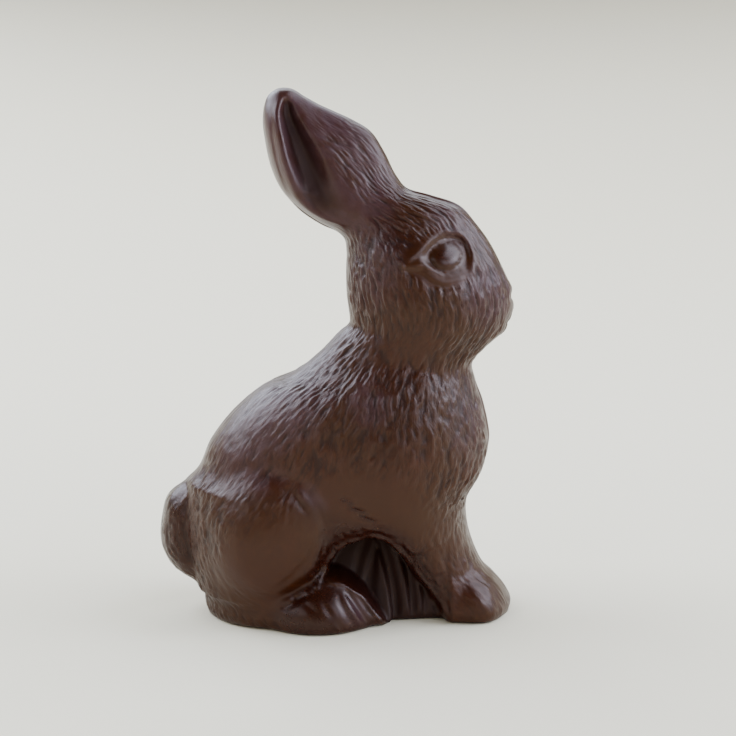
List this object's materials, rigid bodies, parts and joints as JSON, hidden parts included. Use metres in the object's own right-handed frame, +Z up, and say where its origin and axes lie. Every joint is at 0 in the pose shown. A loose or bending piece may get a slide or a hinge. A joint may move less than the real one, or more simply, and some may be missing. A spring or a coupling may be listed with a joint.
{
  "type": "chocolate rabbit",
  "caption": "Moulded dark chocolate rabbit figure sitting upright with its ears laid back, on a flat base.",
  "frame": {"origin": "on the flat base, in the mould's parting plane, midway between tail and front paws", "axes": "+X towards the nose, +Y towards the rabbit's left side, +Z up towards the ear tips"},
  "size_m": [0.0976, 0.0574, 0.1442],
  "materials": {
    "chocolate": "satin dark chocolate"
  },
  "bodies": {
    "root": {"chocolate_rabbit": "chocolate"}
  },
  "joints": []
}
